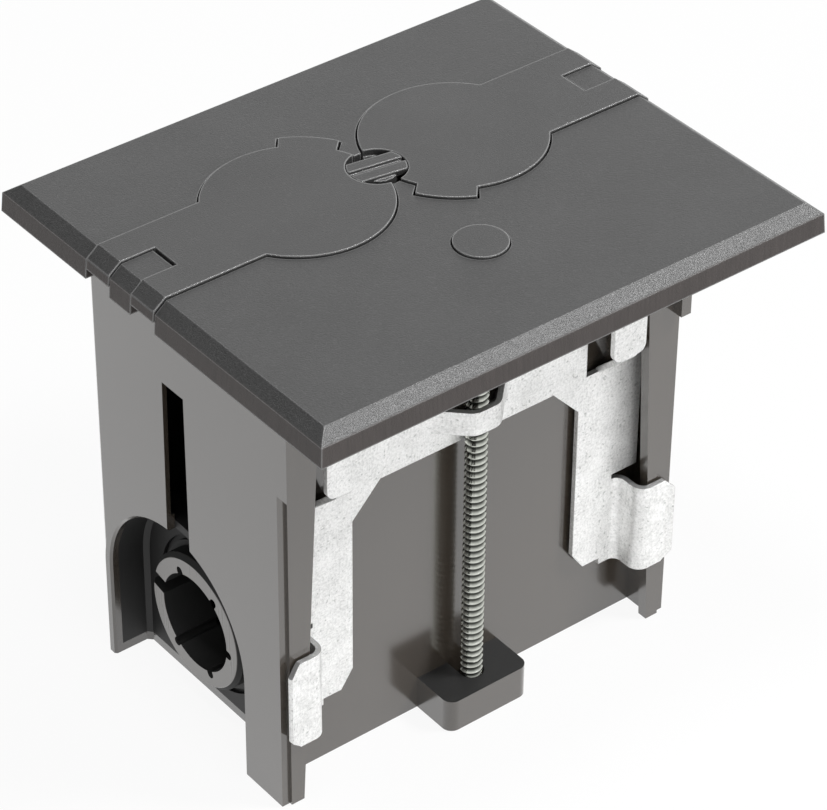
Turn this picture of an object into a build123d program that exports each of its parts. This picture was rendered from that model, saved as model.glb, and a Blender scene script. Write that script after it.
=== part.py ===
from build123d import *
import os
from math import cos, degrees, hypot, radians, sin

os.makedirs("parts", exist_ok=True)

# The floor box stands upright with its cover plate on top. X runs along the plate's long edge,
# the clamp is on the -Y side and the cable entry on the -X side. Lengths are millimetres.
# The origin is on the plane of the box's bottom, under the centre of the plate.
total_height = 117.5

# Cover plate
plate_length = 124.2
plate_width = 105.2
plate_thickness = 7.1
side_flare = 0.3
bevel_run = 2.8
bevel_drop = 2.2
deck_thickness = 5.0
short_rim = 7.3
long_rim = 3.6
rib_width = 1.6
rib_pitch = 26.0
rib_count = 4

# Row of two outlets under the lids
row_y = 11.4
outlet_spacing = 39.1
outlet_radius = 17.3
outlet_flats = 28.4
outlet_gap = 0.35

# Lids, their finger tabs and their hinges
lid_radius = 19.4
lid_thickness = 2.5
lid_gap = 0.35
strap_width = 22.4
tab_reach = 3.4
tab_angle = 227.5
tab_half_angle = 15.5
tab_root_angle = 18.5
tab_root = 0.8
tongue_width = 7.0
tongue_length = 7.4
tongue_side_gap = 0.2
tongue_end_gap = 0.6
pin_radius = 0.9
pin_inset = 2.6
pin_depth = 2.9
pin_fit = 0.03
knuckle_fit = 0.07
knuckle_wall = 0.9
knuckle_drop = 1.7
cradle_gap = 0.2

# Gaskets under the lids
gasket_thickness = 0.7
gasket_width = 1.2
gasket_edge = 0.2

# Coin-turned lid lock on the head of the cover screw
lock_radius = 6.1
lock_gap = 0.25
lock_turn = -9.0
lock_bar_width = 2.6
lock_slot = 1.5
lock_bar_thickness = 1.3
lock_slot_depth = 0.8
lock_web_bottom = 1.6
lock_hub_radius = 4.2
lock_hub_fit = 0.3
lock_seat_gap = 0.3
catch_angle = 66.0
catch_inner = 4.6
catch_width = 2.6
catch_thickness = 0.9

# Cover screw
cover_head_radius = 3.3
cover_head_height = 1.3
cover_screw_radius = 1.75
cover_screw_length = 13.0
cover_hole_fit = 0.35
drive_slot = 0.9
drive_depth = 0.8

# Access plug above the clamp screw
plug_radius = 5.6
plug_gap = 0.25
plug_disc = 2.5
plug_barrel_radius = 4.75
plug_barrel_wall = 0.9
plug_barrel_fit = 0.1
plug_barrel_length = 2.8

# Moulded box
box_length = 103.0
box_back = 38.5
wall_front = -16.6
wall = 2.0
box_floor = 2.2
box_corner = 1.0

# Guide rails either side of the clamp: a cheek with a flange turned inward
rail_front = -24.6
rail_cheek = 3.6
flange_thickness = 2.4
flange_width_top = 10.4
flange_width_bottom = 5.1
rebate_x = 1.9
rebate_y = 0.7
pad_drop = 31.4
lug_width = 2.6
lug_reach = 2.6

# Cable alcoves in the short sides, each with a knockout and a slot above
alcove_y = 12.6
alcove_radius = 23.6
alcove_spring = 24.5
alcove_depth = 9.2
alcove_lip = 0.5
alcove_cove = 1.0
slot_y = 10.4
slot_width = 7.2
slot_spread = 0.5
slot_drop = 26.5
slot_wall = 1.1
slot_recess = 1.6
knockout_radius = 13.9
knockout_z = 22.3
groove_radius = 17.5
groove_width = 1.2
groove_depth = 1.0

# Clamp screw, its shelf and its foot
screw_y = -21.4
screw_radius = 2.4
screw_fit = 0.1
shelf_drop = 5.5
shelf_thickness = 3.0
shelf_width = 19.0
shelf_front = -27.4
shelf_cheek = 1.8
screw_head_radius = 4.4
screw_washer = 1.0
screw_head_flats = 7.6
screw_head_height = 3.2
screw_tip_gap = 2.4
retainer_radius = 4.6
retainer_thickness = 0.7
retainer_gap = 0.3
retainer_fit = 0.03
foot_width = 21.4
foot_front = -27.6
foot_height = 8.0
foot_floor = 3.0
foot_corner = 2.4
foot_notch = 5.4

# Clamp bracket, one stamped and folded sheet
sheet = 1.2
screw_clearance = 0.2
bracket_drop = 19.0
bar_depth = 19.7
leg_length = 70.0
leg_width = 17.0
rail_play = 1.5
haunch_run = 7.0
haunch_rise = 7.5
toe_run = 3.0
toe_rise = 4.4
fold_radius = 1.9
ear_inset = 14.2
ear_width = 8.6
ear_front = -25.8
ear_length = 19.0
ear_ramp = 6.6
ear_relief = 1.0
ear_corner = 2.3
loop_drop = 14.4
loop_height = 5.6
loop_foot = 9.4
loop_half = 2.9
loop_fold = 3.0
loop_window = 10.4
hook_web_inset = 4.4
hook_drop = 1.6
hook_height = 22.0
hook_inset = 0.7
hook_gap = 0.4
hook_flare = 0.7
hook_lip = 2.2
hook_fold = 2.5
hook_chamfer = 2.6
hook_relief = 1.2

# Snap-in cable connector
connector_radius = 15.7
connector_height = 4.4
connector_fit = 0.15
connector_bore = 11.2
connector_chamfer = 1.0
connector_tail = 4.2
snap_height = 0.5
snap_length = 1.4
snap_gap = 0.2
split_width = 3.6
split_angle = 12.0
bore_notches = 5
bore_notch_angle = 65.0
bore_notch_step = 60.0
bore_notch_width = 2.0
bore_notch_depth = 1.6

# Duplex receptacle
face_drop = 0.5
yoke_drop = 6.1
yoke_thickness = 1.5
yoke_end_gap = 1.5
yoke_ear_width = 16.0
yoke_width = 31.0
yoke_window_length = 21.0
yoke_window_width = 21.0
device_spacing = 83.3
device_screw_radius = 1.75
device_screw_fit = 0.05
device_slot_fit = 0.45
device_screw_length = 16.0
device_head_radius = 3.3
device_head_height = 1.9
boss_lead = 4.55
boss_width = 8.6
boss_height = 17.0
face_base = 2.0
face_length = 69.0
face_width = 34.2
body_length = 67.0
body_width = 33.0
body_height = 24.0
body_corner = 3.0
blade_spacing = 12.7
blade_shift = 4.0
blade_width = 2.2
neutral_length = 8.2
hot_length = 6.6
ground_shift = 7.9
ground_radius = 2.6
cavity_length = 11.0
cavity_width = 5.2
cavity_depth = 13.0
cavity_gap = 0.3
contact_sheet = 0.8
contact_gap = 1.8
contact_height = 10.0
ground_strip = 6.4
terminal_spacing = 19.2
terminal_drop = 10.0
terminal_radius = 1.8
terminal_fit = 0.05
terminal_length = 5.0
terminal_head_radius = 3.4
terminal_head_height = 1.9

# Levels and positions that follow from the values above
plate_bottom = total_height - plate_thickness
deck_bottom = total_height - deck_thickness
bevel_foot = total_height - bevel_drop
half_plate = plate_length / 2
top_edge = half_plate - side_flare - bevel_run
half_length = box_length / 2
inner_half = half_length - wall
box_mid_y = (box_back + wall_front) / 2
box_depth = box_back - wall_front
lid_bottom = total_height - lid_thickness
pocket_floor = lid_bottom - gasket_thickness
pocket_depth = total_height - pocket_floor
pin_x = half_plate - pin_inset
pin_z = total_height - pin_depth
knuckle_reach = pin_radius + knuckle_wall
strap_end = pin_z - knuckle_drop
cradle_radius = hypot(pin_inset, knuckle_drop) + cradle_gap
tongue_tip = top_edge - tongue_length
lock_cut = lock_radius + lock_gap
lock_bars = 2 * lock_bar_width + lock_slot
alcove_floor = half_length - alcove_depth
pad_level = deck_bottom - pad_drop
slot_top = deck_bottom - slot_drop
slot_foot = alcove_spring + alcove_radius + wall
shelf_top = deck_bottom - shelf_drop
screw_length = shelf_top - foot_floor - screw_tip_gap
bracket_top = shelf_top - bracket_drop
bar_bottom = bracket_top - bar_depth
leg_bottom = bracket_top - leg_length
leg_outer = half_length - rail_cheek - rail_play
leg_inner = leg_outer - leg_width
ear_inner = leg_outer - ear_inset
ear_ramp_foot = bracket_top - ear_length
ear_ramp_top = ear_ramp_foot + ear_ramp
loop_bottom = bracket_top - loop_drop
loop_window_top = loop_bottom + loop_window
hook_web = leg_outer - hook_web_inset
hook_bottom = leg_bottom - hook_drop
hook_top = hook_bottom + hook_height
hook_outer = half_length - hook_inset
sheet_front = screw_y + screw_radius + screw_clearance
sheet_back = sheet_front + sheet
sheet_mid = sheet_front + sheet / 2
hook_y = rail_front - hook_gap - sheet / 2
loop_y = screw_y - screw_radius - screw_clearance - sheet / 2
ear_y = ear_front + sheet / 2
face_top = pocket_floor - face_drop
yoke_top = deck_bottom - yoke_drop
yoke_bottom = yoke_top - yoke_thickness
yoke_length = 2 * (inner_half - yoke_end_gap)
boss_reach = inner_half - device_spacing / 2 + boss_lead
cavity_floor = yoke_bottom - cavity_depth
ground_cavity = 2 * (ground_radius + contact_sheet + cavity_gap)
outlet_x = outlet_spacing / 2
TO_TOP = (Align.CENTER, Align.CENTER, Align.MIN)
FROM_EDGE = (Align.MIN, Align.CENTER)


def polar(radius, angle):
    """Point of the right lid's disc at a radius and an angle from its centre."""
    return (outlet_x + radius * cos(radians(angle)), row_y + radius * sin(radians(angle)))


def lid_outline(grow, strap_tip):
    """Right lid seen from above: disc, strap to the short edge and finger tab."""
    tip = lid_radius + tab_reach + grow
    root = lid_radius - tab_root
    spread = tab_half_angle + degrees(grow / lid_radius)
    root_spread = tab_root_angle + degrees(grow / lid_radius)
    with BuildSketch(mode=Mode.PRIVATE) as outline:
        with Locations((outlet_x, row_y)):
            Circle(lid_radius + grow)
            Rectangle(strap_tip - outlet_x, strap_width + 2 * grow, align=FROM_EDGE)
        with BuildLine():
            ThreePointArc(
                polar(tip, tab_angle - spread), polar(tip, tab_angle), polar(tip, tab_angle + spread)
            )
            Line(polar(tip, tab_angle + spread), polar(root, tab_angle + root_spread))
            Line(polar(root, tab_angle + root_spread), polar(root, tab_angle - root_spread))
            Line(polar(root, tab_angle - root_spread), polar(tip, tab_angle - spread))
        make_face()
    return outline.sketch


def outlet_outline(grow):
    """The two round, flat-sided outlets seen from above."""
    with BuildSketch(mode=Mode.PRIVATE) as outline:
        with Locations((-outlet_x, row_y), (outlet_x, row_y)):
            Circle(outlet_radius + grow)
        with Locations((0, row_y)):
            Rectangle(outlet_spacing - outlet_flats - 2 * grow, 2 * outlet_radius, mode=Mode.SUBTRACT)
            Rectangle(outlet_spacing + outlet_flats + 2 * grow, 3 * outlet_radius, mode=Mode.INTERSECT)
    return outline.sketch


def alcove_outline(grow):
    """Round-topped alcove seen from the side, running out through the bottom."""
    with BuildSketch(mode=Mode.PRIVATE) as outline:
        with Locations((alcove_y, alcove_spring)):
            Circle(alcove_radius + grow)
            Rectangle(2 * (alcove_radius + grow), 2 * alcove_spring, align=(Align.CENTER, Align.MAX))
    return outline.sketch


half_turn = Location((0, 2 * row_y, 0), (0, 0, 180))
strap_outside = half_plate + cradle_radius

# Cover plate: bevelled slab, hollow beneath, with a pocket for both lids
with BuildPart() as plate:
    with BuildSketch(Plane.XY.offset(plate_bottom)):
        Rectangle(plate_length, plate_width)
    with BuildSketch(Plane.XY.offset(bevel_foot)):
        Rectangle(plate_length - 2 * side_flare, plate_width - 2 * side_flare)
    loft(ruled=True)
    with BuildSketch(Plane.XY.offset(bevel_foot)):
        Rectangle(plate_length - 2 * side_flare, plate_width - 2 * side_flare)
    with BuildSketch(Plane.XY.offset(total_height)):
        Rectangle(2 * top_edge, plate_width - 2 * (side_flare + bevel_run))
    loft(ruled=True)
    with BuildSketch(Plane.XY.offset(plate_bottom)):
        Rectangle(plate_length - 2 * short_rim, plate_width - 2 * long_rim)
    extrude(amount=deck_bottom - plate_bottom, mode=Mode.SUBTRACT)
    # Ribs across the hollow, in front of the shelf and behind the box
    with BuildSketch(Plane.XY.offset(plate_bottom)):
        with GridLocations(rib_pitch, 1, rib_count, 1):
            Rectangle(rib_width, plate_width - 2 * long_rim)
        with Locations((0, box_back + wall)):
            Rectangle(plate_length, box_back + wall - shelf_front + rib_width,
                      align=(Align.CENTER, Align.MAX), mode=Mode.SUBTRACT)
    extrude(amount=deck_bottom - plate_bottom)
    # Lid pocket, hinge cradles and outlet openings
    with BuildSketch(Plane.XY.offset(pocket_floor)):
        add(lid_outline(lid_gap, pin_x))
        with Locations(half_turn):
            add(lid_outline(lid_gap, pin_x))
        with Locations((0, row_y)):
            Circle(lock_cut)
    extrude(amount=pocket_depth, mode=Mode.SUBTRACT)
    with BuildSketch(Plane.XZ.offset(-row_y)):
        with Locations((-pin_x, pin_z), (pin_x, pin_z)):
            Circle(cradle_radius)
        with Locations((-pin_x, pin_z - cradle_radius)):
            Rectangle(strap_outside, 3 * cradle_radius, align=(Align.MAX, Align.MIN))
        with Locations((pin_x, pin_z - cradle_radius)):
            Rectangle(strap_outside, 3 * cradle_radius, align=(Align.MIN, Align.MIN))
    extrude(amount=strap_width / 2 + lid_gap, both=True, mode=Mode.SUBTRACT)
    with BuildSketch(Plane.XY.offset(deck_bottom)):
        add(outlet_outline(outlet_gap))
    extrude(amount=deck_thickness, mode=Mode.SUBTRACT)
    # Hinge tongues stand between the knuckles of each lid
    with BuildSketch(Plane.XZ.offset(-row_y)):
        with BuildLine():
            Polyline(
                (tongue_tip, deck_bottom), (tongue_tip, total_height), (top_edge, total_height),
                (half_plate - side_flare, bevel_foot), (half_plate, plate_bottom),
                (half_plate - short_rim, plate_bottom), (half_plate - short_rim, deck_bottom),
                (tongue_tip, deck_bottom),
            )
        make_face()
        mirror(about=Plane.YZ)
    extrude(amount=tongue_width / 2, both=True)
    with BuildSketch(Plane.XZ.offset(-row_y)):
        with Locations((-pin_x, pin_z), (pin_x, pin_z)):
            Circle(pin_radius + pin_fit)
    extrude(amount=tongue_width, both=True, mode=Mode.SUBTRACT)
    # Hole for the cover screw, and the seat of the access plug
    with Locations((0, row_y, pocket_floor)):
        Hole(radius=cover_screw_radius + cover_hole_fit, depth=pocket_floor - deck_bottom)
    with Locations((0, screw_y, total_height)):
        CounterBoreHole(radius=plug_barrel_radius + plug_barrel_fit,
                        counter_bore_radius=plug_radius + plug_gap, counter_bore_depth=plug_disc)
plate.part.label = "cover_plate"
export_step(plate.part, "parts/cover_plate.step")

# Right lid with its strap, two knuckles, finger tab and catch under the lock
with BuildPart() as lid_right:
    with BuildSketch(Plane.XY.offset(lid_bottom)):
        add(lid_outline(0, pin_x - knuckle_reach))
    extrude(amount=lid_thickness)
    with BuildSketch(Plane.XZ.offset(-row_y)):
        with BuildLine():
            Polyline(
                (pin_x - knuckle_reach - lid_thickness, lid_bottom), (pin_x - knuckle_reach, pin_z),
                (pin_x - knuckle_reach, strap_end), (half_plate, strap_end),
                (half_plate - side_flare, bevel_foot), (top_edge, total_height),
                (pin_x - knuckle_reach - lid_thickness, total_height),
                (pin_x - knuckle_reach - lid_thickness, lid_bottom),
            )
        make_face()
    extrude(amount=strap_width / 2, both=True)
    with BuildSketch(Plane.XY.offset(plate_bottom)):
        with Locations((tongue_tip - tongue_end_gap, row_y)):
            Rectangle(half_plate, tongue_width + 2 * tongue_side_gap, align=FROM_EDGE)
    extrude(amount=plate_thickness, mode=Mode.SUBTRACT)
    with BuildSketch(Plane.XZ.offset(-row_y)):
        with Locations((pin_x, pin_z)):
            Circle(pin_radius + knuckle_fit)
    extrude(amount=strap_width, both=True, mode=Mode.SUBTRACT)
    with BuildSketch(Plane.XY.offset(lid_bottom)):
        with Locations((0, row_y)):
            Circle(lock_cut)
    extrude(amount=lid_thickness, mode=Mode.SUBTRACT)
    with BuildSketch(Plane.XY.offset(lid_bottom)):
        with Locations((0, row_y)):
            Circle(lock_cut + catch_thickness)
            Circle(catch_inner, mode=Mode.SUBTRACT)
            Rectangle(2 * lock_cut, catch_width, rotation=catch_angle, align=FROM_EDGE,
                      mode=Mode.INTERSECT)
    extrude(amount=catch_thickness)
lid_right.part.label = "lid_right"
export_step(lid_right.part, "parts/lid_right.step")

# Left lid: the same moulding turned half round
with BuildPart() as lid_left:
    with Locations(half_turn):
        add(lid_right.part)
lid_left.part.label = "lid_left"
export_step(lid_left.part, "parts/lid_left.step")

# Hinge pins
with BuildPart() as pin_right:
    with BuildSketch(Plane.XZ.offset(-row_y)):
        with Locations((pin_x, pin_z)):
            Circle(pin_radius)
    extrude(amount=strap_width / 2, both=True)
pin_right.part.label = "hinge_pin_right"
export_step(pin_right.part, "parts/hinge_pin_right.step")

with BuildPart() as pin_left:
    with Locations(half_turn):
        add(pin_right.part)
pin_left.part.label = "hinge_pin_left"
export_step(pin_left.part, "parts/hinge_pin_left.step")

# Gasket rings round the outlet openings, one under each lid
with BuildPart() as gaskets:
    with BuildSketch(Plane.XY.offset(pocket_floor)):
        with Locations((-outlet_x, row_y), (outlet_x, row_y)):
            Circle(lid_radius - gasket_edge)
        with Locations((-outlet_x, row_y), (outlet_x, row_y)):
            Circle(lid_radius - gasket_edge - gasket_width, mode=Mode.SUBTRACT)
        with Locations((0, row_y)):
            Circle(lock_cut, mode=Mode.SUBTRACT)
    extrude(amount=gasket_thickness)
gaskets.part.label = "lid_gaskets"
export_step(gaskets.part, "parts/lid_gaskets.step")

# Lid lock: two bars with a coin slot on a hub that turns round the cover screw's head
with BuildPart() as lock:
    with BuildSketch(Plane.XY.offset(total_height - lock_bar_thickness)):
        with Locations((0, row_y)):
            Circle(lock_radius)
            Rectangle(3 * lock_radius, lock_bars, rotation=lock_turn, mode=Mode.INTERSECT)
    extrude(amount=lock_bar_thickness)
    with BuildSketch(Plane.XY.offset(pocket_floor + lock_seat_gap)):
        with Locations((0, row_y)):
            Circle(lock_hub_radius)
    extrude(amount=pocket_depth - lock_seat_gap - lock_slot_depth)
    with BuildSketch(Plane.XY.offset(total_height)):
        with Locations((0, row_y)):
            Rectangle(3 * lock_radius, lock_slot, rotation=lock_turn)
    extrude(amount=-lock_slot_depth, mode=Mode.SUBTRACT)
    with BuildSketch(Plane.XY.offset(pocket_floor)):
        with Locations((0, row_y)):
            Circle(cover_head_radius + lock_hub_fit)
    extrude(amount=lock_web_bottom, mode=Mode.SUBTRACT)
lock.part.label = "lid_lock"
export_step(lock.part, "parts/lid_lock.step")

# Cover screw: holds the plate to the yoke of the receptacle
with BuildPart() as cover_screw:
    with Locations((0, row_y, pocket_floor)):
        Cylinder(cover_head_radius, cover_head_height, align=TO_TOP)
        Cylinder(cover_screw_radius, cover_screw_length, align=(Align.CENTER, Align.CENTER, Align.MAX))
    with Locations((0, row_y, pocket_floor + cover_head_height - drive_depth)):
        Box(2 * cover_head_radius, drive_slot, drive_depth, align=TO_TOP, mode=Mode.SUBTRACT)
cover_screw.part.label = "cover_screw"
export_step(cover_screw.part, "parts/cover_screw.step")

# Access plug: flush disc with a short barrel
with BuildPart() as plug:
    with Locations((0, screw_y, total_height - plug_disc)):
        Cylinder(plug_radius, plug_disc, align=TO_TOP)
        Cylinder(plug_barrel_radius, plug_barrel_length, align=(Align.CENTER, Align.CENTER, Align.MAX))
    with Locations((0, screw_y, total_height - plug_disc - plug_barrel_length)):
        Cylinder(plug_barrel_radius - plug_barrel_wall, plug_barrel_length, align=TO_TOP,
                 mode=Mode.SUBTRACT)
plug.part.label = "access_plug"
export_step(plug.part, "parts/access_plug.step")

# Moulded box with an alcove and a slot in each short side
with BuildPart() as box:
    with BuildSketch():
        with Locations((0, box_mid_y)):
            Rectangle(box_length, box_depth)
        fillet(vertices().group_by(Axis.Y)[-1], box_corner)
    extrude(amount=deck_bottom)
    with BuildSketch(Plane.XY.offset(box_floor)):
        with Locations((0, box_mid_y)):
            Rectangle(box_length - 2 * wall, box_depth - 2 * wall)
    extrude(amount=deck_bottom, mode=Mode.SUBTRACT)
    for side in (-1, 1):
        # Alcove lining, then the alcove with a chamfered lip and a sloped edge round its floor
        with BuildSketch(Plane.YZ.offset(side * half_length)):
            add(alcove_outline(wall))
            with Locations((box_mid_y, 0)):
                Rectangle(box_depth, deck_bottom, align=(Align.CENTER, Align.MIN), mode=Mode.INTERSECT)
        extrude(amount=-side * (alcove_depth + wall))
        with BuildSketch(Plane.YZ.offset(side * half_length)):
            add(alcove_outline(0))
        extrude(amount=-side * (alcove_depth - alcove_cove), mode=Mode.SUBTRACT)
        with BuildSketch(Plane.YZ.offset(side * half_length)):
            add(alcove_outline(alcove_lip))
        with BuildSketch(Plane.YZ.offset(side * (half_length - alcove_lip))):
            add(alcove_outline(0))
        loft(ruled=True, mode=Mode.SUBTRACT)
        with BuildSketch(Plane.YZ.offset(side * (alcove_floor + alcove_cove))):
            add(alcove_outline(0))
        with BuildSketch(Plane.YZ.offset(side * alcove_floor)):
            add(alcove_outline(-alcove_cove))
        loft(ruled=True, mode=Mode.SUBTRACT)
        with BuildSketch(Plane.YZ.offset(side * alcove_floor)):
            with Locations((alcove_y, knockout_z)):
                Circle(groove_radius + groove_width / 2)
                Circle(groove_radius - groove_width / 2, mode=Mode.SUBTRACT)
        extrude(amount=-side * groove_depth, mode=Mode.SUBTRACT)
        # Slot above the alcove, a little wider at its foot, in a thinned part of the wall
        with BuildSketch(Plane.YZ.offset(side * inner_half)):
            with Locations((slot_y, slot_top + slot_recess)):
                Rectangle(slot_width + 2 * slot_recess, slot_top - slot_foot,
                          align=(Align.CENTER, Align.MAX))
        extrude(amount=side * (wall - slot_wall), mode=Mode.SUBTRACT)
        with BuildSketch(Plane.YZ.offset(side * half_length)):
            with BuildLine():
                Polyline(
                    (slot_y - slot_width / 2, slot_top), (slot_y + slot_width / 2, slot_top),
                    (slot_y + slot_width / 2 + slot_spread, alcove_spring),
                    (slot_y - slot_width / 2 - slot_spread, alcove_spring),
                    (slot_y - slot_width / 2, slot_top),
                )
            make_face()
        extrude(amount=-side * wall, mode=Mode.SUBTRACT)
    # Hole that the cable connector snaps into
    with BuildSketch(Plane.YZ.offset(-alcove_floor)):
        with Locations((alcove_y, knockout_z)):
            Circle(knockout_radius)
    extrude(amount=wall, mode=Mode.SUBTRACT)
box.part.label = "box_body"
export_step(box.part, "parts/box_body.step")

# Bosses moulded inside the short walls, which take the receptacle's mounting screws
with BuildPart() as bosses:
    for side in (-1, 1):
        with BuildSketch(Plane.XY.offset(yoke_bottom)):
            with Locations((side * inner_half, row_y)):
                Rectangle(boss_reach, boss_width,
                          align=(Align.MAX if side > 0 else Align.MIN, Align.CENTER))
        extrude(amount=-boss_height)
        with Locations((side * device_spacing / 2, row_y, yoke_bottom)):
            Hole(radius=device_screw_radius + device_screw_fit, depth=device_screw_length)
bosses.part.label = "device_bosses"
export_step(bosses.part, "parts/device_bosses.step")

# Clamp track moulded on the front of the box: two guide rails, screw shelf and foot
with BuildPart() as track:
    for side in (-1, 1):
        # Guide rail: cheek, tapered flange, rebated corner and stop lug under the plate
        with BuildSketch():
            with Locations((side * half_length, wall_front)):
                Rectangle(rail_cheek, wall_front - rail_front,
                          align=(Align.MAX if side > 0 else Align.MIN, Align.MAX))
        extrude(amount=deck_bottom)
        with BuildSketch(Plane.XZ.offset(-rail_front)):
            with BuildLine():
                Polyline(
                    (side * half_length, 0), (side * (half_length - flange_width_bottom), 0),
                    (side * (half_length - flange_width_top), deck_bottom),
                    (side * half_length, deck_bottom), (side * half_length, 0),
                )
            make_face()
        extrude(amount=-flange_thickness)
        with BuildSketch():
            with Locations((side * half_length, rail_front)):
                Rectangle(2 * rebate_x, 2 * rebate_y)
        extrude(amount=pad_level, mode=Mode.SUBTRACT)
        with BuildSketch(Plane.XY.offset(pad_level)):
            with Locations((side * half_length, rail_front)):
                Rectangle(lug_width, lug_reach, align=(Align.MAX if side > 0 else Align.MIN, Align.MAX))
        extrude(amount=deck_bottom - pad_level)
    # Shelf that carries the head of the clamp screw, hung between two cheeks
    with BuildSketch(Plane.XY.offset(shelf_top - shelf_thickness)):
        with Locations((0, wall_front)):
            Rectangle(shelf_width, wall_front - shelf_front, align=(Align.CENTER, Align.MAX))
    extrude(amount=deck_bottom - shelf_top + shelf_thickness)
    with BuildSketch(Plane.XY.offset(shelf_top)):
        with Locations((0, wall_front)):
            Rectangle(shelf_width - 2 * shelf_cheek, wall_front - shelf_front,
                      align=(Align.CENTER, Align.MAX))
    extrude(amount=deck_bottom - shelf_top, mode=Mode.SUBTRACT)
    with Locations((0, screw_y, shelf_top)):
        Hole(radius=screw_radius + screw_fit, depth=shelf_thickness)
    # Foot that guards the lower end of the clamp screw
    with BuildSketch():
        with Locations((0, wall_front)):
            Rectangle(foot_width, wall_front - foot_front, align=(Align.CENTER, Align.MAX))
        fillet(vertices().group_by(Axis.Y)[0], foot_corner)
    extrude(amount=foot_height)
    with BuildSketch(Plane.XY.offset(foot_floor)):
        with Locations((0, screw_y)):
            Circle(foot_notch / 2)
        with Locations((0, screw_y)):
            Rectangle(foot_notch, wall_front - screw_y, align=(Align.CENTER, Align.MIN))
    extrude(amount=foot_height, mode=Mode.SUBTRACT)
track.part.label = "clamp_track"
export_step(track.part, "parts/clamp_track.step")

# Ear: strip joggled forward on a narrow neck, left standing in front of its window
with BuildPart() as ear:
    with BuildSketch(Plane.YZ.offset(ear_inner)):
        with BuildLine():
            FilletPolyline(
                (sheet_mid, ear_ramp_foot - 2 * fold_radius), (sheet_mid, ear_ramp_foot),
                (ear_y, ear_ramp_top), (ear_y, bracket_top), radius=fold_radius,
            )
        trace(line_width=sheet)
    extrude(amount=ear_width)
    with BuildSketch(Plane.XZ.offset(-sheet_back)):
        with Locations((ear_inner, ear_ramp_top)):
            Rectangle(ear_width, ear_length, align=(Align.MIN, Align.MIN))
        fillet(vertices().group_by(Axis.Y)[0], ear_corner)
        with Locations((ear_inner + ear_corner, ear_ramp_foot - 2 * fold_radius)):
            Rectangle(ear_width - 2 * ear_corner, ear_length, align=(Align.MIN, Align.MIN))
    extrude(amount=sheet_back - ear_front, mode=Mode.INTERSECT)

# Clamp bracket: flat sheet with an ear and half of the screw loop, then its mirror image
with BuildPart() as bracket:
    with BuildSketch(Plane.XZ.offset(-sheet_back)):
        with BuildLine():
            Polyline(
                (0, bar_bottom), (leg_inner - haunch_run, bar_bottom),
                (leg_inner, bar_bottom - haunch_rise), (leg_inner, leg_bottom + toe_rise),
                (leg_inner + toe_run, leg_bottom), (leg_outer, leg_bottom), (leg_outer, bracket_top),
                (0, bracket_top), (0, bar_bottom),
            )
        make_face()
        # Window behind the loop, window behind the ear and relief round the hook
        with Locations((0, loop_bottom)):
            Rectangle(2 * loop_foot, loop_window_top - loop_bottom, align=(Align.CENTER, Align.MIN),
                      mode=Mode.SUBTRACT)
        with Locations((ear_inner - ear_relief, ear_ramp_foot)):
            Rectangle(ear_width + 2 * ear_relief, bracket_top, align=(Align.MIN, Align.MIN),
                      mode=Mode.SUBTRACT)
        with Locations((hook_web - hook_fold, hook_bottom)):
            Rectangle(leg_outer, hook_top - hook_bottom + hook_relief, align=(Align.MIN, Align.MIN),
                      mode=Mode.SUBTRACT)
    extrude(amount=sheet)
    add(ear.part)
    # Half of the loop that holds the clamp screw
    with BuildSketch(Plane.XY.offset(loop_bottom)):
        with BuildLine():
            FilletPolyline(
                (0, loop_y), (loop_half, loop_y), (loop_foot, sheet_mid),
                (loop_foot + 2 * fold_radius, sheet_mid), radius=loop_fold,
            )
        trace(line_width=sheet)
    extrude(amount=loop_height)
    mirror(about=Plane.YZ)
bracket_base = bracket.part

# Hook folded forward from each leg and round the rail
with BuildPart() as hook:
    with BuildSketch(Plane.XY.offset(hook_bottom)):
        with BuildLine():
            FilletPolyline(
                (hook_web - 2 * hook_fold, sheet_mid), (hook_web, sheet_mid), (hook_web, hook_y),
                (hook_outer - hook_lip, hook_y), (hook_outer, hook_y - hook_flare), radius=hook_fold,
            )
        trace(line_width=sheet)
    extrude(amount=hook_top - hook_bottom)
    # Outline of the flat blank, with both outer corners cut
    with BuildSketch(Plane.XZ.offset(-sheet_back)):
        with BuildLine():
            Polyline(
                (hook_web - 2 * hook_fold, hook_bottom), (hook_outer - hook_chamfer, hook_bottom),
                (hook_outer, hook_bottom + hook_chamfer), (hook_outer, hook_top - hook_chamfer),
                (hook_outer - hook_chamfer, hook_top), (hook_web - 2 * hook_fold, hook_top),
                (hook_web - 2 * hook_fold, hook_bottom),
            )
        make_face()
    extrude(amount=sheet_back - hook_y + hook_lip, mode=Mode.INTERSECT)

with BuildPart() as clamp_bracket:
    add(bracket_base)
    add(hook.part)
    add(hook.part.mirror(Plane.YZ))
clamp_bracket.part.label = "clamp_bracket"
export_step(clamp_bracket.part, "parts/clamp_bracket.step")

# Clamp screw: washer-faced hex head on the shelf, shank down into the foot
with BuildPart() as clamp_screw:
    with Locations((0, screw_y, shelf_top)):
        Cylinder(screw_head_radius, screw_washer, align=TO_TOP)
        Cylinder(screw_radius, screw_length, align=(Align.CENTER, Align.CENTER, Align.MAX))
    with BuildSketch(Plane.XY.offset(shelf_top + screw_washer)):
        with Locations((0, screw_y)):
            RegularPolygon(screw_head_flats / 2, 6, major_radius=False)
    extrude(amount=screw_head_height)
    with Locations((0, screw_y, shelf_top + screw_washer + screw_head_height - drive_depth)):
        Box(2 * screw_head_flats, drive_slot, drive_depth, align=TO_TOP, mode=Mode.SUBTRACT)
clamp_screw.part.label = "clamp_screw"
export_step(clamp_screw.part, "parts/clamp_screw.step")

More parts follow.
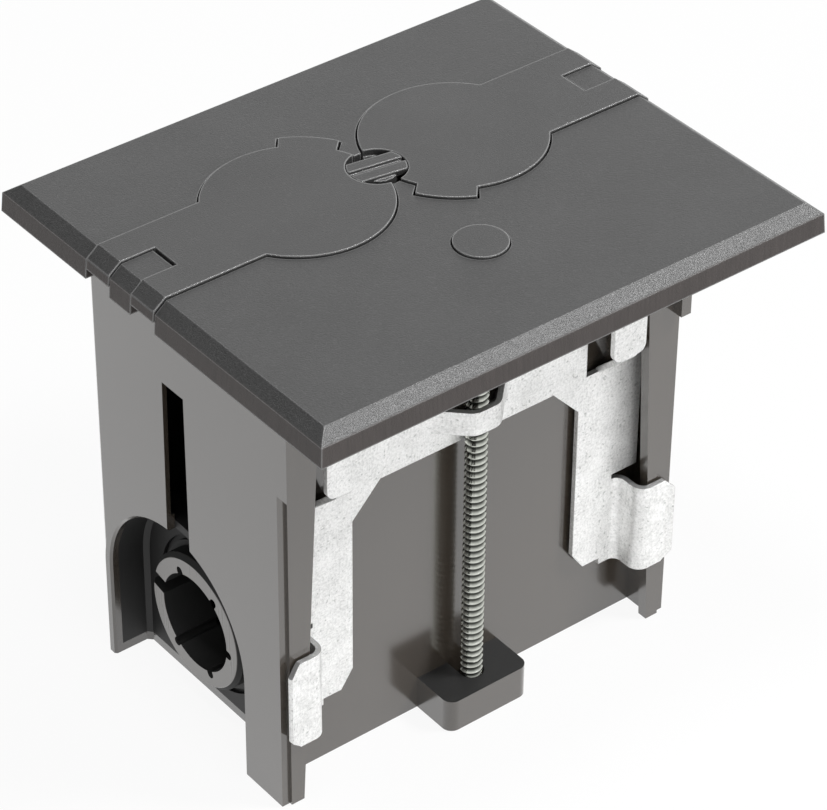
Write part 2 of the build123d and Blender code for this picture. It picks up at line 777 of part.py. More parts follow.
# Push-on ring that keeps the clamp screw in its shelf
with BuildPart() as retainer:
    with Locations((0, screw_y, shelf_top - shelf_thickness - retainer_gap)):
        Cylinder(retainer_radius, retainer_thickness, align=(Align.CENTER, Align.CENTER, Align.MAX))
        Hole(radius=screw_radius + retainer_fit, depth=retainer_thickness)
retainer.part.label = "screw_retainer"
export_step(retainer.part, "parts/screw_retainer.step")

# Snap-in cable connector: split flange, snap bead inside the wall and notched bore
with BuildPart() as connector:
    with BuildSketch(Plane.YZ.offset(-alcove_floor)):
        with Locations((alcove_y, knockout_z)):
            Circle(connector_radius)
    extrude(amount=-connector_height)
    chamfer(edges().group_by(Axis.X)[0], connector_chamfer)
    with BuildSketch(Plane.YZ.offset(-alcove_floor)):
        with Locations((alcove_y, knockout_z)):
            Circle(knockout_radius - connector_fit)
    extrude(amount=wall + connector_tail)
    with BuildSketch(Plane.YZ.offset(-alcove_floor + wall + snap_gap)):
        with Locations((alcove_y, knockout_z)):
            Circle(knockout_radius + snap_height)
    extrude(amount=snap_length)
    with BuildSketch(Plane.YZ.offset(-alcove_floor)):
        with Locations((alcove_y, knockout_z)):
            Circle(connector_bore)
            with PolarLocations(connector_bore, bore_notches, start_angle=bore_notch_angle,
                                angular_range=bore_notches * bore_notch_step):
                SlotOverall(2 * bore_notch_depth, bore_notch_width)
            Rectangle(2 * connector_radius, split_width, rotation=split_angle, align=FROM_EDGE)
    extrude(amount=wall + connector_tail + connector_height, both=True, mode=Mode.SUBTRACT)
connector.part.label = "cable_connector"
export_step(connector.part, "parts/cable_connector.step")

# Receptacle face: two outlets on a common base, slotted for the blades
blades = [(side * outlet_x - blade_shift, row_y) for side in (-1, 1)]
grounds = [(side * outlet_x + ground_shift, row_y) for side in (-1, 1)]

with BuildPart() as face:
    with BuildSketch(Plane.XY.offset(yoke_top)):
        with Locations((0, row_y)):
            RectangleRounded(face_length, face_width, body_corner)
    extrude(amount=face_base)
    with BuildSketch(Plane.XY.offset(yoke_top)):
        add(outlet_outline(0))
    extrude(amount=face_top - yoke_top)
    with BuildSketch(Plane.XY.offset(face_top)):
        for x, y in blades:
            with Locations((x, y + blade_spacing / 2)):
                Rectangle(neutral_length, blade_width)
            with Locations((x, y - blade_spacing / 2)):
                Rectangle(hot_length, blade_width)
        with Locations(*grounds):
            Circle(ground_radius)
    extrude(amount=-(face_top - yoke_top), mode=Mode.SUBTRACT)
    with Locations((0, row_y, yoke_top + face_base)):
        Hole(radius=cover_screw_radius + cover_hole_fit, depth=face_base)
face.part.label = "receptacle_face"
export_step(face.part, "parts/receptacle_face.step")

# Mounting yoke with a window under each outlet
with BuildPart() as yoke:
    with BuildSketch(Plane.XY.offset(yoke_bottom)):
        with Locations((0, row_y)):
            Rectangle(yoke_length, yoke_ear_width)
            Rectangle(body_length, yoke_width)
        with Locations((-outlet_x, row_y), (outlet_x, row_y)):
            Rectangle(yoke_window_length, yoke_window_width, mode=Mode.SUBTRACT)
        with Locations((-device_spacing / 2, row_y), (device_spacing / 2, row_y)):
            Circle(device_screw_radius + device_slot_fit, mode=Mode.SUBTRACT)
        with Locations((0, row_y)):
            Circle(cover_screw_radius + device_screw_fit, mode=Mode.SUBTRACT)
    extrude(amount=yoke_thickness)
yoke.part.label = "mounting_yoke"
export_step(yoke.part, "parts/mounting_yoke.step")

# Receptacle body with a cavity for each contact
with BuildPart() as body:
    with BuildSketch(Plane.XY.offset(yoke_bottom)):
        with Locations((0, row_y)):
            RectangleRounded(body_length, body_width, body_corner)
    extrude(amount=-body_height)
    with BuildSketch(Plane.XY.offset(yoke_bottom)):
        for x, y in blades:
            with Locations((x, y - blade_spacing / 2), (x, y + blade_spacing / 2)):
                Rectangle(cavity_length, cavity_width)
        with Locations(*grounds):
            Rectangle(ground_cavity, ground_strip + 2 * cavity_gap)
    extrude(amount=-cavity_depth, mode=Mode.SUBTRACT)
    with Locations((0, row_y, yoke_bottom)):
        Hole(radius=cover_screw_radius + cover_hole_fit, depth=cavity_depth)
    for side in (-1, 1):
        with BuildSketch(Plane.XZ.offset(-row_y + side * body_width / 2)):
            with Locations((-terminal_spacing / 2, yoke_bottom - terminal_drop),
                           (terminal_spacing / 2, yoke_bottom - terminal_drop)):
                Circle(terminal_radius + terminal_fit)
        extrude(amount=-side * terminal_length, mode=Mode.SUBTRACT)
body.part.label = "receptacle_body"
export_step(body.part, "parts/receptacle_body.step")

# Blade contacts: four folded strips, one in each cavity
with BuildPart() as contacts:
    for x, y in blades:
        with BuildSketch(Plane.XY.offset(cavity_floor)):
            with Locations((x, y - blade_spacing / 2), (x, y + blade_spacing / 2)):
                Rectangle(cavity_length - 2 * cavity_gap, contact_gap + 2 * contact_sheet)
        extrude(amount=contact_height)
        with BuildSketch(Plane.XY.offset(cavity_floor + contact_sheet)):
            with Locations((x, y - blade_spacing / 2), (x, y + blade_spacing / 2)):
                Rectangle(cavity_length, contact_gap)
        extrude(amount=contact_height, mode=Mode.SUBTRACT)
contacts.part.label = "blade_contacts"
export_step(contacts.part, "parts/blade_contacts.step")

# Ground contacts: two folded strips, open at the top like the blade contacts
with BuildPart() as ground_clips:
    with BuildSketch(Plane.XY.offset(cavity_floor)):
        with Locations(*grounds):
            Rectangle(2 * (ground_radius + contact_sheet), ground_strip)
    extrude(amount=contact_height)
    with BuildSketch(Plane.XY.offset(cavity_floor + contact_sheet)):
        with Locations(*grounds):
            Rectangle(2 * ground_radius, 2 * ground_strip)
    extrude(amount=contact_height, mode=Mode.SUBTRACT)
ground_clips.part.label = "ground_contacts"
export_step(ground_clips.part, "parts/ground_contacts.step")

# Terminal screws, two on each long side of the body
with BuildPart() as terminals:
    for side in (-1, 1):
        with BuildSketch(Plane.XZ.offset(-row_y + side * body_width / 2)):
            with Locations((-terminal_spacing / 2, yoke_bottom - terminal_drop),
                           (terminal_spacing / 2, yoke_bottom - terminal_drop)):
                Circle(terminal_head_radius)
        extrude(amount=side * terminal_head_height)
        with BuildSketch(Plane.XZ.offset(-row_y + side * body_width / 2)):
            with Locations((-terminal_spacing / 2, yoke_bottom - terminal_drop),
                           (terminal_spacing / 2, yoke_bottom - terminal_drop)):
                Circle(terminal_radius)
        extrude(amount=-side * terminal_length)
terminals.part.label = "terminal_screws"
export_step(terminals.part, "parts/terminal_screws.step")

# Screws that hold the yoke down on the box's bosses
with BuildPart() as device_screws:
    with Locations((-device_spacing / 2, row_y, yoke_top), (device_spacing / 2, row_y, yoke_top)):
        Cylinder(device_head_radius, device_head_height, align=TO_TOP)
        Cylinder(device_screw_radius, device_screw_length, align=(Align.CENTER, Align.CENTER, Align.MAX))
    with Locations((-device_spacing / 2, row_y, yoke_top + device_head_height - drive_depth),
                   (device_spacing / 2, row_y, yoke_top + device_head_height - drive_depth)):
        Box(2 * device_head_radius, drive_slot, drive_depth, align=TO_TOP, mode=Mode.SUBTRACT)
device_screws.part.label = "device_screws"
export_step(device_screws.part, "parts/device_screws.step")
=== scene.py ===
# %% [markdown]
# # Dressing a floor socket box
# The solids come from the CAD model and stay where they are. This lesson gives each of them its
# finish, models the threaded clamp screw in full, and sets up a small studio round the box.

import math

import bpy
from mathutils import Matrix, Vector


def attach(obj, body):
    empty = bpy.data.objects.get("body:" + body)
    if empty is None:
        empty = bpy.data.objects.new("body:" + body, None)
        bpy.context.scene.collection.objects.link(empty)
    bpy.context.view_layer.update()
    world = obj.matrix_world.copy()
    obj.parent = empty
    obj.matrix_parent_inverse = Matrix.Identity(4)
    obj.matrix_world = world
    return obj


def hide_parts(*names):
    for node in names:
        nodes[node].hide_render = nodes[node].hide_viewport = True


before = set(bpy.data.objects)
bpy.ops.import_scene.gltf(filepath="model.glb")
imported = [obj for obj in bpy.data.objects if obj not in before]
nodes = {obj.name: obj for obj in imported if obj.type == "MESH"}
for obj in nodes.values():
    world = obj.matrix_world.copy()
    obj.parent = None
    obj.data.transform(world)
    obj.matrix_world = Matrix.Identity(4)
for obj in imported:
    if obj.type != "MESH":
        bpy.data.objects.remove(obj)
MM = 0.001
total_height, bevel_drop = 117.5 * MM, 2.2 * MM
bevel_foot = total_height - bevel_drop
screw_y, screw_radius = -21.4 * MM, 2.4 * MM
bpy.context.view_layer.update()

# %% [markdown]
# ## Camera
# The photograph looks down on the near corner from the left. A long lens far away keeps the box's
# upright edges nearly parallel. The place and the angles were worked out from the plate's corners,
# the two lids and the round plug.

# %% Camera
camera_data = bpy.data.cameras.new("camera")
camera_data.sensor_fit = "HORIZONTAL"
camera_data.sensor_width = 36.0
camera_data.lens = 158.091
camera = bpy.data.objects.new("camera", camera_data)
bpy.context.scene.collection.objects.link(camera)
camera.location = (-0.3697677, -0.4653916, 0.5134677)
camera.rotation_euler = tuple(math.radians(v) for v in (52.96547, -0.42531, -38.20755))
bpy.context.scene.camera = camera
print("camera looks from", [round(v, 3) for v in camera.location])

# %% [markdown]
# ## Shader maths
# Masks and colours are easier to read as sums and products than as chains of nodes. A small class
# wraps a socket, so that every operator adds a Math node, and one method, `node`, makes any other
# node: its settings come first, because they can change which sockets it has.

# %% Socket class
class Value:
    """A socket in a material's tree, with arithmetic that adds Math nodes."""

    def __init__(self, tree, socket):
        self.tree = tree
        self.socket = socket

    def node(self, kind, settings=None, output=0, **inputs):
        """A new node. An input is given by its name, or by its number after an underscore."""
        made = self.tree.nodes.new(kind)
        for name, setting in (settings or {}).items():
            setattr(made, name, setting)
        for name, value in inputs.items():
            key = int(name[1:]) if name[0] == "_" else name.replace("_", " ")
            if isinstance(value, Value):
                self.tree.links.new(value.socket, made.inputs[key])
            else:
                made.inputs[key].default_value = value
        return Value(self.tree, made.outputs[output])

    def maths(self, operation, other=0.0, swap=False, clamp=False):
        first, second = (other, self) if swap else (self, other)
        settings = {"operation": operation, "use_clamp": clamp}
        return self.node("ShaderNodeMath", settings, _0=first, _1=second)

    def __add__(self, other):
        return self.maths("ADD", other)

    __radd__ = __add__

    def __sub__(self, other):
        return self.maths("SUBTRACT", other)

    def __rsub__(self, other):
        return self.maths("SUBTRACT", other, swap=True)

    def __mul__(self, other):
        return self.maths("MULTIPLY", other)

    __rmul__ = __mul__

    def __truediv__(self, other):
        return self.maths("DIVIDE", other)

    def __abs__(self):
        return self.maths("ABSOLUTE")

    def clamped(self):
        """Kept between 0 and 1."""
        return self.maths("ADD", 0.0, clamp=True)

    def above(self, limit, soft):
        """0 below the limit and 1 above it, over a soft edge."""
        return ((self - (limit - soft)) / (2 * soft)).clamped()


# %% [markdown]
# ## Helpers for materials
# A new material starts as a Principled shader and its Object coordinates, in metres. The model's
# solids all sit at the origin, so a pattern runs on unbroken from one solid to the next. Greys are
# written as they look on screen and turned into linear colours here.

# %% Material helpers
def new_material(name):
    """An empty material, its shader and its Object coordinates."""
    material = bpy.data.materials.new(name)
    material.use_nodes = True
    tree = material.node_tree
    shader = tree.nodes["Principled BSDF"]
    place = Value(tree, tree.nodes.new("ShaderNodeTexCoord").outputs["Object"])
    return material, shader, place


def noise(place, scale, detail=2.0, rough=0.5):
    """Noise with about `scale` blots to the metre."""
    kind = "ShaderNodeTexNoise"
    return place.node(kind, Vector=place, Scale=scale, Detail=detail, Roughness=rough)


def mix(factor, first, second):
    """Colour between two colours."""
    colours = {"data_type": "RGBA"}
    return factor.node("ShaderNodeMix", colours, output=2, _0=factor, _6=first, _7=second)


def stretched(place, x, y, z):
    """Coordinates drawn out along an axis, for lines and scratches."""
    return place.node("ShaderNodeMapping", Vector=place, Scale=(x, y, z))


def part_of(vector, axis):
    """One of the three parts of a vector: X, Y or Z."""
    return vector.node("ShaderNodeSeparateXYZ", output=axis, Vector=vector)


def edge_shading(place, radius):
    """Normal that is rounded at sharp edges, and a mask of the edges themselves."""
    rounded = place.node("ShaderNodeBevel", {"samples": 8}, Radius=radius)
    flat = place.node("ShaderNodeNewGeometry", output="True Normal")
    dot = {"operation": "DOT_PRODUCT"}
    alike = place.node("ShaderNodeVectorMath", dot, output="Value", _0=rounded, _1=flat)
    return rounded, (1.0 - alike).above(0.06, 0.05)


def connect(value, shader, socket):
    value.tree.links.new(value.socket, shader.inputs[socket])


def grey(level, red=0.0, blue=0.0):
    """Linear colour of a grey given as it looks on screen, from 0 to 255."""
    def linear(v):
        c = max(v, 0) / 255
        return c / 12.92 if c <= 0.04045 else ((c + 0.055) / 1.055) ** 2.4
    return (linear(level + red), linear(level), linear(level + blue), 1.0)


print("screen grey 100 is", round(grey(100)[0], 3))

# %% [markdown]
# ## Cover plastic
# The plate, the lids, the lock and the plug are one dark grey plastic with a spark-eroded texture:
# a grain of about a quarter of a millimetre that sparkles where it mirrors a lamp. A bump map from
# a fine noise gives the sparkle, and a second, wider noise the faint clouding. Edges get a painted
# highlight, a lighter colour, and are smoother. Below the bevel the sides get painted shade, a
# darker colour, and are browner, with fine upright lines.

# %% Cover plastic
cover_plastic, shader, place = new_material("cover_plastic")
grain = noise(place, 3200.0, 2.0, 0.6)
clouds = noise(place, 60.0, 3.0)
specks = noise(place, 1500.0, 1.0).above(0.66, 0.05)
lines = noise(stretched(place, 1600.0, 1600.0, 60.0), 1.0, 2.0)
painted_shade_sides = 1.0 - part_of(place, "Z").above(bevel_foot - 0.4 * MM, 0.05 * MM)
rounded, edge_highlight_and_polish = edge_shading(place, 0.6 * MM)
shade = (grain - 0.5) * 1.3 + (clouds - 0.5) * 0.5 + specks * 0.3 + 0.45
side_shade = (lines - 0.5) * 1.2 + (grain - 0.5) * 0.5 + 0.5
top = mix(shade.clamped(), grey(52), grey(76))
# Painted shade: the sides below the bevel get a darker grey than the top, with a brown tint of
# their own.
side = mix(side_shade.clamped(), grey(38, 5, -2), grey(60, 6, -2))
# Painted highlight: the colour on sharp edges is mixed towards a light grey (165).
connect(mix(edge_highlight_and_polish * 0.6, mix(painted_shade_sides, top, side), grey(165)), shader, "Base Color")
connect((grain - 0.5) * 0.35 + painted_shade_sides * 0.2 - edge_highlight_and_polish * 0.2 + 0.36, shader, "Roughness")
bump = place.node("ShaderNodeBump", Strength=1.0, Distance=0.11 * MM, Height=grain, Normal=rounded)
connect(bump, shader, "Normal")
print("made", cover_plastic.name)

# %% [markdown]
# ## Box plastic
# The box comes out of a smoother mould: slightly brown, and glossy enough to mirror the screw and
# the bracket in its front wall. A dark base colour under a clear coat gives that, because most of
# the brightness of such a wall is what it mirrors. Faint upright lines stay from the cutter that
# made the mould. The inside is unlit in real life, and painted shade, a darker colour on every
# inner face, keeps it so here: the masks compare the place of each point with the walls' inner
# faces. Ledges that face up, such as the top of the screw's foot, get painted shade too, a dark
# colour for the plate's shade, and are matt.

# %% Box plastic
def box_finish(name, level, roughness, inside):
    """Clear-coated plastic with painted shade where the mask `inside` is 1, and painted shade on
    matt ledges that face up.
    """
    material, shader, place = new_material(name)
    x, y, z = (part_of(place, axis) for axis in "XYZ")
    lines = noise(stretched(place, 1600.0, 1600.0, 25.0), 1.0, 2.0)
    clouds = noise(place, 40.0, 3.0)
    shade = (lines - 0.5) * 0.6 + (clouds - 0.5) * 0.7 + 0.5
    colour = mix(shade.clamped(), grey(level - 5, 7, -7), grey(level + 5, 6, -7))
    # Painted shade: faces inside the walls get a near-black grey (14).
    painted_inner_shade = inside(x, y, z)
    outward = place.node("ShaderNodeNewGeometry", output="True Normal")
    # Painted shade: faces that look up get a dark grey (34), for the plate's shade over them.
    painted_ledge_shade = part_of(outward, "Z").above(0.6, 0.05)
    matt = (painted_inner_shade + painted_ledge_shade).clamped()
    connect(mix(painted_inner_shade, mix(painted_ledge_shade, colour, grey(34)), grey(14)), shader, "Base Color")
    uneven = (clouds - 0.5) * 0.1 + (lines - 0.5) * 0.06
    connect(uneven + matt * 0.4 + roughness, shader, "Roughness")
    connect(1.0 - matt, shader, "Coat Weight")
    shader.inputs["Coat Roughness"].default_value = roughness
    shader.inputs["Coat IOR"].default_value = 1.78
    return material


def within_walls(x, y, z):
    """1 on faces behind the inner side of the box's walls, 0 outside."""
    half, front, back, bottom = 49.55 * MM, -14.65 * MM, 36.55 * MM, 2.15 * MM
    soft = 0.02 * MM
    across = 1.0 - abs(x).above(half, soft)
    along = y.above(front, soft) * (1.0 - y.above(back, soft))
    return across * along * z.above(bottom, soft)


box_plastic = box_finish("box_plastic", 58, 0.17, within_walls)
print("made", box_plastic.name)

# %% [markdown]
# ## Connector and receptacle plastic
# The ring of the cable connector is the same plastic with a duller face. Its bore gets painted
# shade, a near-black colour, because no light reaches it: here the mask is the depth behind the
# ring's face. The receptacle under the lids is a plain smooth black plastic.

# %% Connector and receptacle plastic
def behind_ring(x, y, z):
    """1 behind the face of the connector's ring, 0 in front of it: only the depth x decides."""
    ring_depth, soft = -46.6 * MM, 0.02 * MM
    return x.above(ring_depth, soft)


# Painted shade: the bore behind the ring's face gets the near-black grey of box_finish.
connector_plastic = box_finish("connector_plastic", 64, 0.28, behind_ring)

receptacle_plastic, shader, place = new_material("receptacle_plastic")
clouds = noise(place, 400.0, 3.0)
connect(mix(clouds, grey(52), grey(66)), shader, "Base Color")
connect((clouds - 0.5) * 0.2 + 0.32, shader, "Roughness")
print("made", connector_plastic.name, receptacle_plastic.name)

# %% [markdown]
# ## Zinc sheet
# Galvanised sheet is nearly white, with a fine grey speckle, short fine scratches in all
# directions and a few darker spots. Each comes from a noise of its own size, and the scratches
# from two noises drawn out along different axes. The finish is dull, so most of its colour is
# diffuse and only part of it metallic. The sheet stands upright, so whatever faces up or down is
# a cut edge, and is a darker grey.

# %% Zinc sheet
zinc_sheet, shader, place = new_material("zinc_sheet")
speckle = noise(place, 1700.0, 3.0, 0.75)
patches = noise(place, 160.0, 4.0, 0.6)
scratch_up = noise(stretched(place, 2400.0, 2400.0, 260.0), 1.0, 3.0, 0.7)
scratch_across = noise(stretched(place, 300.0, 2600.0, 2600.0), 1.0, 3.0, 0.7)
spots = noise(place, 1100.0, 1.0).above(0.7, 0.04)
scratches = scratch_up.above(0.62, 0.1) * 0.5 + scratch_across.above(0.63, 0.1) * 0.4
shade = (speckle - 0.5) * 1.8 + (patches - 0.5) * 0.8 - scratches * 0.5 - spots * 0.5 + 0.78
outward = place.node("ShaderNodeNewGeometry", output="True Normal")
cut_edge = abs(part_of(outward, "Z")).above(0.6, 0.05)
surface = mix(shade.clamped(), grey(184, -1, -2), grey(255, 0, -1))
connect(mix(cut_edge * 0.8, surface, grey(128)), shader, "Base Color")
connect((speckle - 0.5) * 0.3 + scratches * 0.1 + 0.42, shader, "Roughness")
shader.inputs["Metallic"].default_value = 0.5
edges = place.node("ShaderNodeBevel", {"samples": 6}, Radius=0.25 * MM)
bump = place.node("ShaderNodeBump", Strength=0.25, Distance=0.04 * MM, Height=speckle, Normal=edges)
connect(bump, shader, "Normal")
print("made", zinc_sheet.name)

# %% [markdown]
# ## Screws, pins and contacts
# Small turned parts need less: a metal colour and a fine uneven polish. The zinc plating of the
# clamp screw has a greenish cast, and its grooves get painted shade, a dark grey, so its colour
# also goes by the distance from the screw's axis.

# %% Plated metal
def plated(name, colour, roughness):
    """Metal with small worn patches of a darker tone."""
    material, shader, place = new_material(name)
    wear = noise(place, 900.0, 3.0, 0.6)
    darker = tuple(c * 0.6 for c in colour[:3]) + (1.0,)
    connect(mix(wear, darker, colour), shader, "Base Color")
    connect((wear - 0.5) * 0.3 + roughness, shader, "Roughness")
    shader.inputs["Metallic"].default_value = 1.0
    return material


plated_steel = plated("plated_steel", grey(190, -4, -10), 0.26)
pin_steel = plated("pin_steel", grey(175), 0.35)
contact_brass = plated("contact_brass", (0.58, 0.36, 0.11, 1.0), 0.35)
print("made", plated_steel.name, pin_steel.name, contact_brass.name)

# %% Thread and gasket
thread_steel, shader, place = new_material("thread_steel")
x, y = part_of(place, "X"), part_of(place, "Y") - screw_y
reach = (x * x + y * y).maths("SQRT")
wear = noise(place, 900.0, 3.0, 0.6)
ridge_outside_painted_shade = reach.above(screw_radius - 0.25 * MM, 0.2 * MM)
bright = mix(wear, grey(170, -3, -9), grey(235, -2, -7))
# Painted shade: the grooves, nearer the axis than the crest, get a dark grey (70).
connect(mix(ridge_outside_painted_shade, grey(70, -2, -4), bright), shader, "Base Color")
connect((wear - 0.5) * 0.2 + 0.15, shader, "Roughness")
shader.inputs["Metallic"].default_value = 1.0

gasket_rubber, shader, place = new_material("gasket_rubber")
cells = noise(place, 3000.0, 2.0)
connect(mix(cells, grey(22), grey(40)), shader, "Base Color")
connect(cells * 0.2 + 0.75, shader, "Roughness")
print("made", thread_steel.name, gasket_rubber.name)

# %% [markdown]
# ## Finishes on the solids
# Each CAD solid keeps its mesh and only changes its material.

# %% Give each solid its finish
finishes = {
    cover_plastic: ("cover_plate", "lid_left", "lid_right", "lid_lock", "access_plug"),
    box_plastic: ("box_body", "clamp_track", "device_bosses"),
    connector_plastic: ("cable_connector",),
    receptacle_plastic: ("receptacle_face", "receptacle_body"),
    zinc_sheet: ("clamp_bracket",),
    plated_steel: ("clamp_screw", "screw_retainer", "cover_screw", "device_screws",
                   "mounting_yoke"),
    pin_steel: ("hinge_pin_left", "hinge_pin_right"),
    gasket_rubber: ("lid_gaskets",),
    contact_brass: ("blade_contacts", "ground_contacts", "terminal_screws"),
}
for finish, names in finishes.items():
    for name in names:
        nodes[name].data.materials.clear()
        nodes[name].data.materials.append(finish)
print("dressed", sum(len(names) for names in finishes.values()), "of", len(nodes), "solids")

# %% [markdown]
# ## Plate round the lids
# The lids stand half a millimetre proud of the plate, which shows as a dark line along their near
# edges and a light one along the far ones. A copy of the plate has its top and bevels lowered by
# that much. Its rim is also open below the lids' knuckles, so that each knuckle's lower edge is
# free: a Boolean modifier takes four boxes away there.

# %% Copy of a solid
def deselect():
    """Object mode, with nothing selected."""
    if bpy.context.object and bpy.context.object.mode != "OBJECT":
        bpy.ops.object.mode_set(mode="OBJECT")
    bpy.ops.object.select_all(action="DESELECT")


def copy_solid(name, piece_name):
    """A copy of a solid's mesh with its doubled corners merged, as the active object."""
    deselect()
    piece = bpy.data.objects.new(piece_name, nodes[name].data.copy())
    bpy.context.scene.collection.objects.link(piece)
    bpy.context.view_layer.objects.active = piece
    piece.select_set(True)
    bpy.ops.object.mode_set(mode="EDIT")
    bpy.ops.mesh.select_all(action="SELECT")
    bpy.ops.mesh.remove_doubles(threshold=0.001 * MM)
    bpy.ops.object.mode_set(mode="OBJECT")
    bpy.ops.mesh.customdata_custom_splitnormals_clear()
    return piece


plate = copy_solid("cover_plate", "cover_plate_open")
print("copied", len(plate.data.vertices), "corners")

# %% Lower the top round the lids
lid_proud, slack = 0.5 * MM, 0.05 * MM
bpy.ops.object.mode_set(mode="EDIT")
bpy.ops.mesh.select_all(action="DESELECT")
bpy.ops.object.mode_set(mode="OBJECT")
for vertex in plate.data.vertices:
    vertex.select = vertex.co.z > bevel_foot - slack
bpy.ops.object.mode_set(mode="EDIT")
bpy.ops.transform.translate(value=(0, 0, -lid_proud))
bpy.ops.object.mode_set(mode="OBJECT")
print("top is now at", round(max(vertex.co.z for vertex in plate.data.vertices) / MM, 2), "mm")

# %% Open the rim below the knuckles
row_y, knuckle_near, knuckle_far = 11.4 * MM, 3.51 * MM, 11.54 * MM
opening_inner, opening_outer = 57.0 * MM, 63.0 * MM
opening_low, opening_high = 109.4 * MM, 114.6 * MM
opening_size = (opening_outer - opening_inner, knuckle_far - knuckle_near,
                opening_high - opening_low)
for end in (-1, 1):
    for side in (-1, 1):
        deselect()
        middle = (end * (opening_inner + opening_outer) / 2,
                  row_y + side * (knuckle_near + knuckle_far) / 2,
                  (opening_low + opening_high) / 2)
        bpy.ops.mesh.primitive_cube_add(size=1, location=middle, scale=opening_size)
        cutter = bpy.context.object
        cut = plate.modifiers.new("opening", "BOOLEAN")
        cut.object = cutter
        cut.operation = "DIFFERENCE"
        cut.solver = "EXACT"
        bpy.context.view_layer.objects.active = plate
        bpy.ops.object.modifier_apply(modifier=cut.name)
        bpy.data.objects.remove(cutter)
deselect()
plate.select_set(True)
bpy.ops.object.shade_smooth_by_angle(angle=math.radians(28))
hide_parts("cover_plate")
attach(plate, "base")
print("plate faces:", len(plate.data.polygons))

# %% [markdown]
# ## Threaded clamp screw
# The solid screw has a plain shank. The real one has 16 threads to the inch all the way down. A
# thread is one tooth carried round the axis while it climbs, so the tooth's outline, four points
# in one pitch, goes to a Screw modifier that turns it and lifts it by the pitch each time. The
# ragged first and last turns are then cut off flat and closed.

# %% Thread
corners = [vertex.co for vertex in nodes["clamp_screw"].data.vertices]
screw_top = max(place.z for place in corners)
screw_tip = min(place.z for place in corners)
tip_ring = [place for place in corners if place.z < screw_tip + 0.1 * MM]
head_length = 7.2 * MM
crest = max(place.x for place in tip_ring)
axis_y = (min(place.y for place in tip_ring) + max(place.y for place in tip_ring)) / 2
plain_end = screw_top - head_length
pitch = 1.5875 * MM
tooth_depth = 0.55 * MM
turns = math.ceil((plain_end - screw_tip) / pitch) + 2
print("thread in mm:", round((plain_end - screw_tip) / MM, 1), "turns:", turns)

# %% One tooth
foot_rise, flank_rise, flat_rise, back_rise = 0.12, 0.33, 0.12, 0.43
tooth = ((0, foot_rise), (tooth_depth, flank_rise), (0, flat_rise), (-tooth_depth, back_rise))
deselect()
bpy.ops.mesh.primitive_plane_add(size=1 * MM)
screw = bpy.context.object
screw.name = "clamp_screw_threaded"
bpy.ops.object.mode_set(mode="EDIT")
bpy.ops.mesh.select_all(action="SELECT")
bpy.ops.mesh.merge(type="CENTER")
bpy.ops.transform.translate(value=(crest - tooth_depth, 0, 0))
for out, rise in tooth:
    bpy.ops.mesh.extrude_region_move(TRANSFORM_OT_translate={"value": (out, 0, rise * pitch)})
bpy.ops.object.mode_set(mode="OBJECT")
print("outline points:", len(screw.data.vertices))

# %% Carry the tooth round the axis
climb = screw.modifiers.new("climb", "SCREW")
climb.axis = "Z"
climb.screw_offset = pitch
climb.iterations = turns
climb.steps = climb.render_steps = 28
climb.use_merge_vertices = True
climb.merge_threshold = 0.002 * MM
bpy.ops.object.modifier_apply(modifier="climb")
bpy.ops.object.mode_set(mode="EDIT")
bpy.ops.mesh.select_all(action="SELECT")
bpy.ops.mesh.remove_doubles(threshold=0.002 * MM)
bpy.ops.transform.translate(value=(0, axis_y, screw_tip - pitch))
level = {"plane_no": (0, 0, 1), "use_fill": True}
bpy.ops.mesh.bisect(plane_co=(0, 0, screw_tip), clear_inner=True, **level)
bpy.ops.mesh.select_all(action="SELECT")
bpy.ops.mesh.bisect(plane_co=(0, 0, plain_end), clear_outer=True, **level)
bpy.ops.mesh.select_all(action="SELECT")
bpy.ops.mesh.normals_make_consistent(inside=False)
bpy.ops.object.mode_set(mode="OBJECT")
print("thread faces:", len(screw.data.polygons))

# %% [markdown]
# ## Head of the clamp screw
# The head under the plate keeps the solid's own shape, with its washer, flats and slot. A copy of
# the solid's mesh is merged, cut off below the shelf and joined to the thread.

# %% Head from the solid
overlap = 0.05 * MM
head = copy_solid("clamp_screw", "screw_head")
bpy.ops.object.mode_set(mode="EDIT")
bpy.ops.mesh.select_all(action="SELECT")
bpy.ops.mesh.bisect(plane_co=(0, 0, plain_end - overlap), clear_inner=True, **level)
bpy.ops.object.mode_set(mode="OBJECT")
screw.data.materials.append(thread_steel)
screw.select_set(True)
bpy.context.view_layer.objects.active = screw
bpy.ops.object.join()
bpy.ops.object.shade_smooth_by_angle(angle=math.radians(28))
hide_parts("clamp_screw")
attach(screw, "screw")
print("screw in mm:", [round(v / MM, 1) for v in screw.dimensions])

# %% [markdown]
# ## Floor and white background
# The floor is a white card that the camera, the metal and the glossy plastic see as pure white,
# except where the object's shadow falls. The Light Path node tells the card and the world what
# kind of ray is asking.

# %% Floor card
def background_rays(tree):
    """1 for rays that should meet the white background: camera, glossy and transmission."""
    path = tree.nodes.new("ShaderNodeLightPath")
    kinds = ("Is Camera Ray", "Is Glossy Ray", "Is Transmission Ray")
    camera_ray, glossy, through = (Value(tree, path.outputs[kind]) for kind in kinds)
    return (camera_ray + glossy + through).clamped()


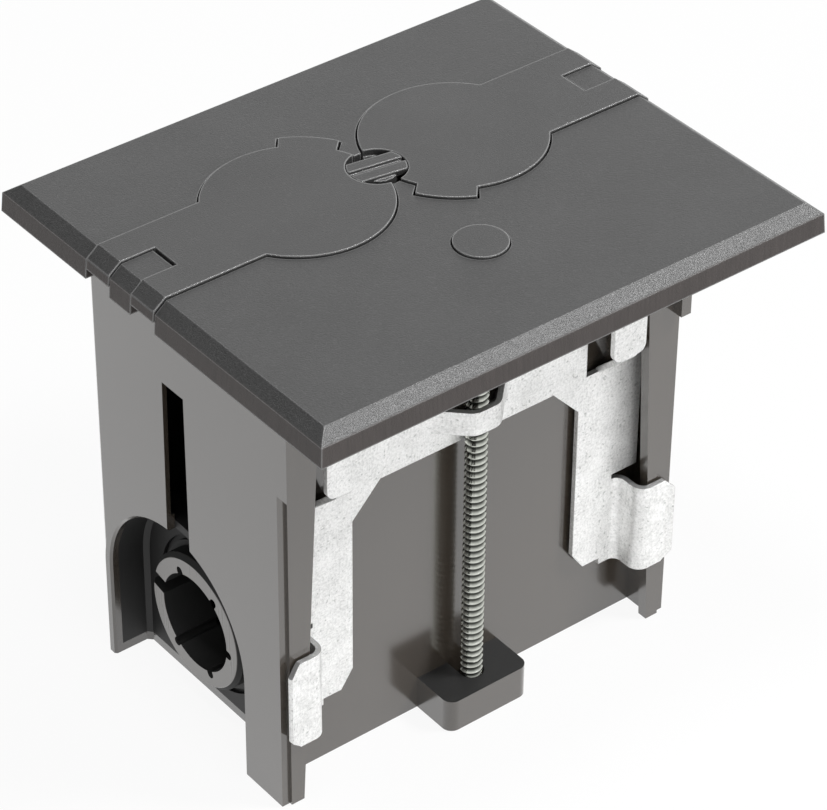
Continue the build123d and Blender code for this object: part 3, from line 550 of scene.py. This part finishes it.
floor_width, floor_gap = 6.0, 0.2 * MM
deselect()
bpy.ops.mesh.primitive_plane_add(size=floor_width, location=(0, 0, -floor_gap))
floor = bpy.context.object
floor.name = "floor_card"
card = bpy.data.materials.new("white_card")
card.use_nodes = True
tree = card.node_tree
card_shader = tree.nodes["Principled BSDF"]
card_shader.inputs["Base Color"].default_value = (0.86, 0.86, 0.86, 1.0)
card_shader.inputs["Roughness"].default_value = 0.9
card_shader.inputs["Specular IOR Level"].default_value = 0.1
glow = tree.nodes.new("ShaderNodeEmission")
blend_card = tree.nodes.new("ShaderNodeMixShader")
glow_share = 0.92
share = background_rays(tree) * glow_share
tree.links.new(share.socket, blend_card.inputs[0])
tree.links.new(card_shader.outputs[0], blend_card.inputs[1])
tree.links.new(glow.outputs[0], blend_card.inputs[2])
tree.links.new(blend_card.outputs[0], tree.nodes["Material Output"].inputs["Surface"])
floor.data.materials.append(card)
print("floor card", [round(v, 2) for v in floor.dimensions])

# %% World
world = bpy.data.worlds.new("studio")
bpy.context.scene.world = world
world.use_nodes = True
background = world.node_tree.nodes["Background"]
background.inputs["Color"].default_value = (1.0, 1.0, 1.0, 1.0)
ambient = 0.2
strength = background_rays(world.node_tree) * (1.0 - ambient) + ambient
world.node_tree.links.new(strength.socket, background.inputs["Strength"])
print("ambient light:", ambient)

# %% [markdown]
# ## Lamps
# Four soft lamps light the box. The key stands high in front at the right, where the plate's long
# bevel mirrors it towards the camera. A small one hangs overhead and puts a thin light on the
# slanting corner nearest the camera. A broad one in front lights the bracket and the box's front
# wall, and a weak one at the left the side with the cable connector.

# %% Lamps
def facing(direction, distance):
    """Place and turn of something that looks at the box from a direction."""
    middle = Vector((0.0, 0.0, 80 * MM))
    away = Vector(direction).normalized()
    return middle + away * distance, away.to_track_quat("Z", "Y").to_euler()


def soft_lamp(name, direction, width, power):
    """A square lamp that looks at the box."""
    data = bpy.data.lights.new(name, "AREA")
    data.shape = "SQUARE"
    data.size = width
    data.energy = power
    lamp = bpy.data.objects.new(name, data)
    bpy.context.scene.collection.objects.link(lamp)
    lamp.location, lamp.rotation_euler = facing(direction, lamp_distance)


lamp_distance = 1.2
soft_lamp("key_lamp", (0.48, -0.42, 0.77), 0.3, 11.0)
soft_lamp("overhead_lamp", (-0.19, -0.04, 0.98), 0.25, 6.0)
soft_lamp("front_lamp", (-0.1, -1.0, 0.1), 0.8, 5.5)
soft_lamp("left_lamp", (-1.0, 0.1, 0.1), 0.8, 0.6)

# %% [markdown]
# ## Dark card
# The plate's left bevel mirrors the back left of the studio, which is dark. A black card stands
# there, out of the camera's sight.

# %% Dark card
card_width = card_distance = 1.3
card_place, card_turn = facing((-0.52, 0.59, 0.61), card_distance)
deselect()
bpy.ops.mesh.primitive_plane_add(size=card_width, location=card_place, rotation=card_turn)
dark_card = bpy.context.object
dark_card.name = "dark_card"
dark_card.visible_camera = False
black, shader, place = new_material("black_card")
connect(mix(noise(place, 20.0), grey(8), grey(16)), shader, "Base Color")
shader.inputs["Roughness"].default_value = 0.9
dark_card.data.materials.append(black)
print("dark card at", [round(v, 2) for v in dark_card.location])

# %% [markdown]
# ## View
# The Standard view shows colours as they are written.

# %% View settings
bpy.context.scene.view_settings.view_transform = "Standard"
